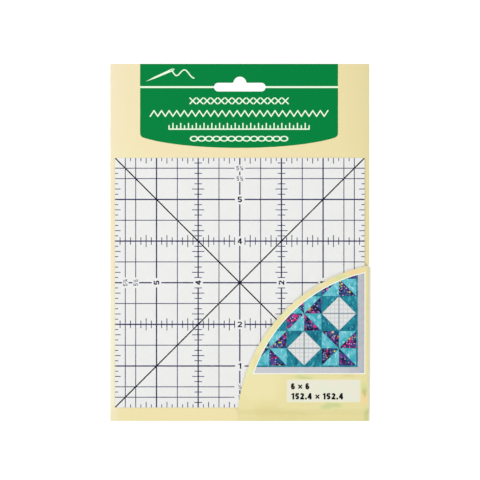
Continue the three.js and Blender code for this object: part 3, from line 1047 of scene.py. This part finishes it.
def needle_and_thread():
    """A threaded needle in the header's upper left corner."""
    point, eye = Vector(NEEDLE_POINT), Vector(NEEDLE_EYE)
    way = (eye - point).normalized()
    side = Vector((-way.y, way.x))
    spots = zip((point + way * NEEDLE_TAPER, eye, eye + way * NEEDLE_HEAD), NEEDLE_WIDTHS)
    lower, upper = zip(*[(spot - side * half, spot + side * half) for spot, half in spots])
    body = [tuple(corner) for corner in (point, *lower, *reversed(upper))]
    hole = [tuple(eye + way * x + side * y) for x, y in ellipse((0, 0), *EYE_HOLE)]
    thread = []
    for i in range(THREAD_STEPS + 1):
        share = i / THREAD_STEPS
        sway = math.sin(share * THREAD_WAVES * 2 * math.pi) * THREAD_SWAY * (1 - share / 2)
        thread.append((eye.x + share * THREAD_WAY[0], eye.y + share * THREAD_WAY[1] - sway))
    return [body, hole], [stitch(*ends) for ends in zip(thread, thread[1:])]


def make_header():
    for node in ("header_upper_print", "header_lower_print"):
        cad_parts[node].data.materials[0] = MATERIALS["green"]
    needle, thread = needle_and_thread()
    rows = [*cross_stitches(*CROSS_ROW), *zigzag_stitches(*ZIGZAG_ROW),
            *blanket_stitches(*BLANKET_ROW), *thread]
    drawn = [[loop] for loop in rows] + [needle] + chain_stitches(*CHAIN_ROW)
    shapes = [("pale", moved(loops, (header_middle, 0))) for loops in drawn]
    stitches = make_print("header_stitches", shapes, level(header_high.z), ["pale"])
    half = HEADER_LINE / 2
    stripe = rectangle(header_low.x, header_high.x, slot_middle - half, slot_middle + half)
    shapes = [("pale", [stripe]), ("slot", [slot_outline()])]
    line = make_print("header_line", shapes, level(BOARD), ["pale"],
                      lambda tags: "pale" if tags == {"pale"} else None)
    for piece in (stitches, line):
        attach(piece, "card")


# The picture on the flap: a patchwork of pinwheels and diamonds

def picture_outline(margin):
    """The picture's edge, set outwards by the margin."""
    centre, radius = circle_through(picture_low.xy, picture_high.xy, PICTURE_BULGE)
    radius += margin
    right, low = picture_high.x + margin, picture_low.y - margin
    turn_start = math.acos((right - centre.x) / radius)
    turn_end = math.pi - math.asin((low - centre.y) / radius)
    return [*arc(centre, radius, turn_start, turn_end, PICTURE_STEPS), (right, low)]


# Patches of a quarter of each kind of block, in units from the block's middle
PINWHEEL = [("floral", [(0, 0), (1, 0), (1, 1)]), ("teal", [(0, 0), (1, 1), (0, 1)])]
DIAMOND = [("check", [(0, 0), (1, 0), (0, 1)]), ("deep", [(1, 0), (1, 1), (0, 1)])]


def quilt_patches():
    """Pinwheels and diamonds in turn, counted from the quilt's lower right corner."""
    patches = []
    for column in range(QUILT_BLOCKS):
        for row in range(QUILT_BLOCKS):
            middle_x = quilt_right - (2 * column + 1) * QUILT_UNIT
            middle_y = quilt_low + (2 * row + 1) * QUILT_UNIT
            for fabric, corners in DIAMOND if (column + row) % 2 else PINWHEEL:
                for _ in range(4):
                    patches.append((fabric, [(middle_x + x * QUILT_UNIT, middle_y + y * QUILT_UNIT)
                                             for x, y in corners]))
                    corners = [(-y, x) for x, y in corners]
    return patches


def make_picture():
    fabrics = ("teal", "deep", "floral", "check", "seam")
    quilt = rectangle(picture_low.x - BEYOND, quilt_right + BINDING, quilt_low - BINDING,
                      picture_high.y + BEYOND)
    patches = quilt_patches()
    seams = [ribbon(side, SEAM) for _, patch in patches
             for side in zip(patch, patch[1:] + patch[:1])]
    shapes = [("keyline", [picture_outline(KEYLINE)]), ("window", [picture_outline(0)]),
              ("quilt", [quilt])]
    shapes += [(fabric, [patch]) for fabric, patch in patches]
    shapes += [("seam", [seam]) for seam in seams]

    def choose(tags):
        if "keyline" not in tags:
            return None
        if "window" not in tags:
            return "keyline"
        if "quilt" not in tags:
            return "border"
        return next((fabric for fabric in reversed(fabrics) if fabric in tags), "deep")

    picture = make_print("picture_patchwork", shapes, film_on_flap,
                         ("keyline", "border", *fabrics), choose)
    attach(picture, "card")
    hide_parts("picture_print")


# The size label, in plain figures

def make_label():
    outline = rounded_box(label_low, label_high, LABEL_CORNER)
    ground = make_print("label_ground", [("label", [outline])], film_on_flap, ["label"])
    side = f"{DIVISION * DIVISION_COUNT:.1f}"
    rows = [(str(DIVISION_COUNT), label_high.y - LABEL_UPPER[0], LABEL_UPPER[1]),
            (side, label_low.y + LABEL_LOWER[0], LABEL_LOWER[1])]
    shapes = [("black", moved(loops, (label_low.x + x, y))) for number, y, places in rows
              for word, x in zip((number, "×", number), places)
              for loops in figures(word, LABEL_HEIGHT, LABEL_WEIGHT)]
    size = make_print("label_figures", shapes,
                      lambda x, y, share: film_on_flap(x, y, share, FILM), ["black"])
    for piece in (ground, size):
        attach(piece, "card")
    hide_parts("size_label_print")


make_card()
make_sheet()
make_scale()
make_header()
make_picture()
make_label()
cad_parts["flap_adhesive"].data.materials[0] = MATERIALS["glue"]


# Floor, light and camera, in metres and watts

FLOOR_REACH = 4
FLOOR_DEPTH = 0.00003  # below the card's back
FLOOR_WHITE = (0.9, 0.9, 0.9, 1)
GLOW = (0.2, 2, 0.16, 0.6)  # the floor's glow grows between two distances; its strengths there
WORLD_LIGHT = 0.5  # what lights the object; the camera sees full white
CAMERA_HEIGHT = 1.2  # above the ruler's face
CAMERA_PLACE = (0.00012, 0.00146)
SEEN_WIDTH = 0.2928  # at the height of the ruler's face
SENSOR = 36
# Place, size and power of each lamp
LAMPS = {"key": ((-0.6, 0.15, 1.45), 0.8, 11.9), "fill": ((0.8, -0.2, 1.3), 1, 4.2)}


def make_floor():
    """A white floor that glows a little, more so farther out, where the camera sees it."""
    look = Look("floor_white")
    seen = 0
    for kind in ("Camera", "Glossy", "Transmission"):
        seen = look.math("MAXIMUM", seen, look.add("LightPath", {}, f"Is {kind} Ray"))
    strength = look.times(seen, look.ramp(look.length(look.place), *GLOW))
    glow = look.add("Emission", {"Strength": strength})
    paper = look.add("BsdfDiffuse", {"Color": FLOOR_WHITE})
    surface = look.add("AddShader", {0: glow, 1: paper})
    fill(look.tree.nodes["Material Output"], {"Surface": surface})
    mesh = bpy.data.meshes.new("floor")
    corners = rectangle(-FLOOR_REACH, FLOOR_REACH, -FLOOR_REACH, FLOOR_REACH)
    mesh.from_pydata([(x, y, -FLOOR_DEPTH) for x, y in corners], [], [(0, 1, 2, 3)])
    mesh.materials.append(look.material)
    floor = add_object("floor", mesh)


def make_world():
    """White to the camera, and a weaker white light on everything."""
    world = bpy.data.worlds.new("studio")
    world.use_nodes = True
    seen = add_node(world.node_tree, "LightPath", {}, "Is Camera Ray")
    strength = add_node(world.node_tree, "MapRange", {"Value": seen, "To Min": WORLD_LIGHT})
    fill(world.node_tree.nodes["Background"], {"Color": (1, 1, 1, 1), "Strength": strength})
    bpy.context.scene.world = world


def make_lamp(name, position, size, power):
    """A round lamp that faces the middle of the card."""
    data = bpy.data.lights.new(name, "AREA")
    data.shape = "DISK"
    data.size = size
    data.energy = power
    lamp = add_object(name, data)
    lamp.location = position
    lamp.rotation_euler = (-Vector(position)).to_track_quat("-Z", "Y").to_euler()


def make_camera():
    """Straight above the card, as the photograph has it."""
    data = bpy.data.cameras.new("camera")
    data.sensor_width = SENSOR
    data.lens = SENSOR * CAMERA_HEIGHT / SEEN_WIDTH
    data.clip_start = 0.01
    camera = add_object("camera", data)
    camera.location = (*CAMERA_PLACE, CAMERA_HEIGHT + sheet_high.z * MM)
    bpy.context.scene.camera = camera


make_floor()
make_world()
for lamp_name, settings in LAMPS.items():
    make_lamp(lamp_name, *settings)
make_camera()
bpy.context.scene.view_settings.view_transform = "Standard"
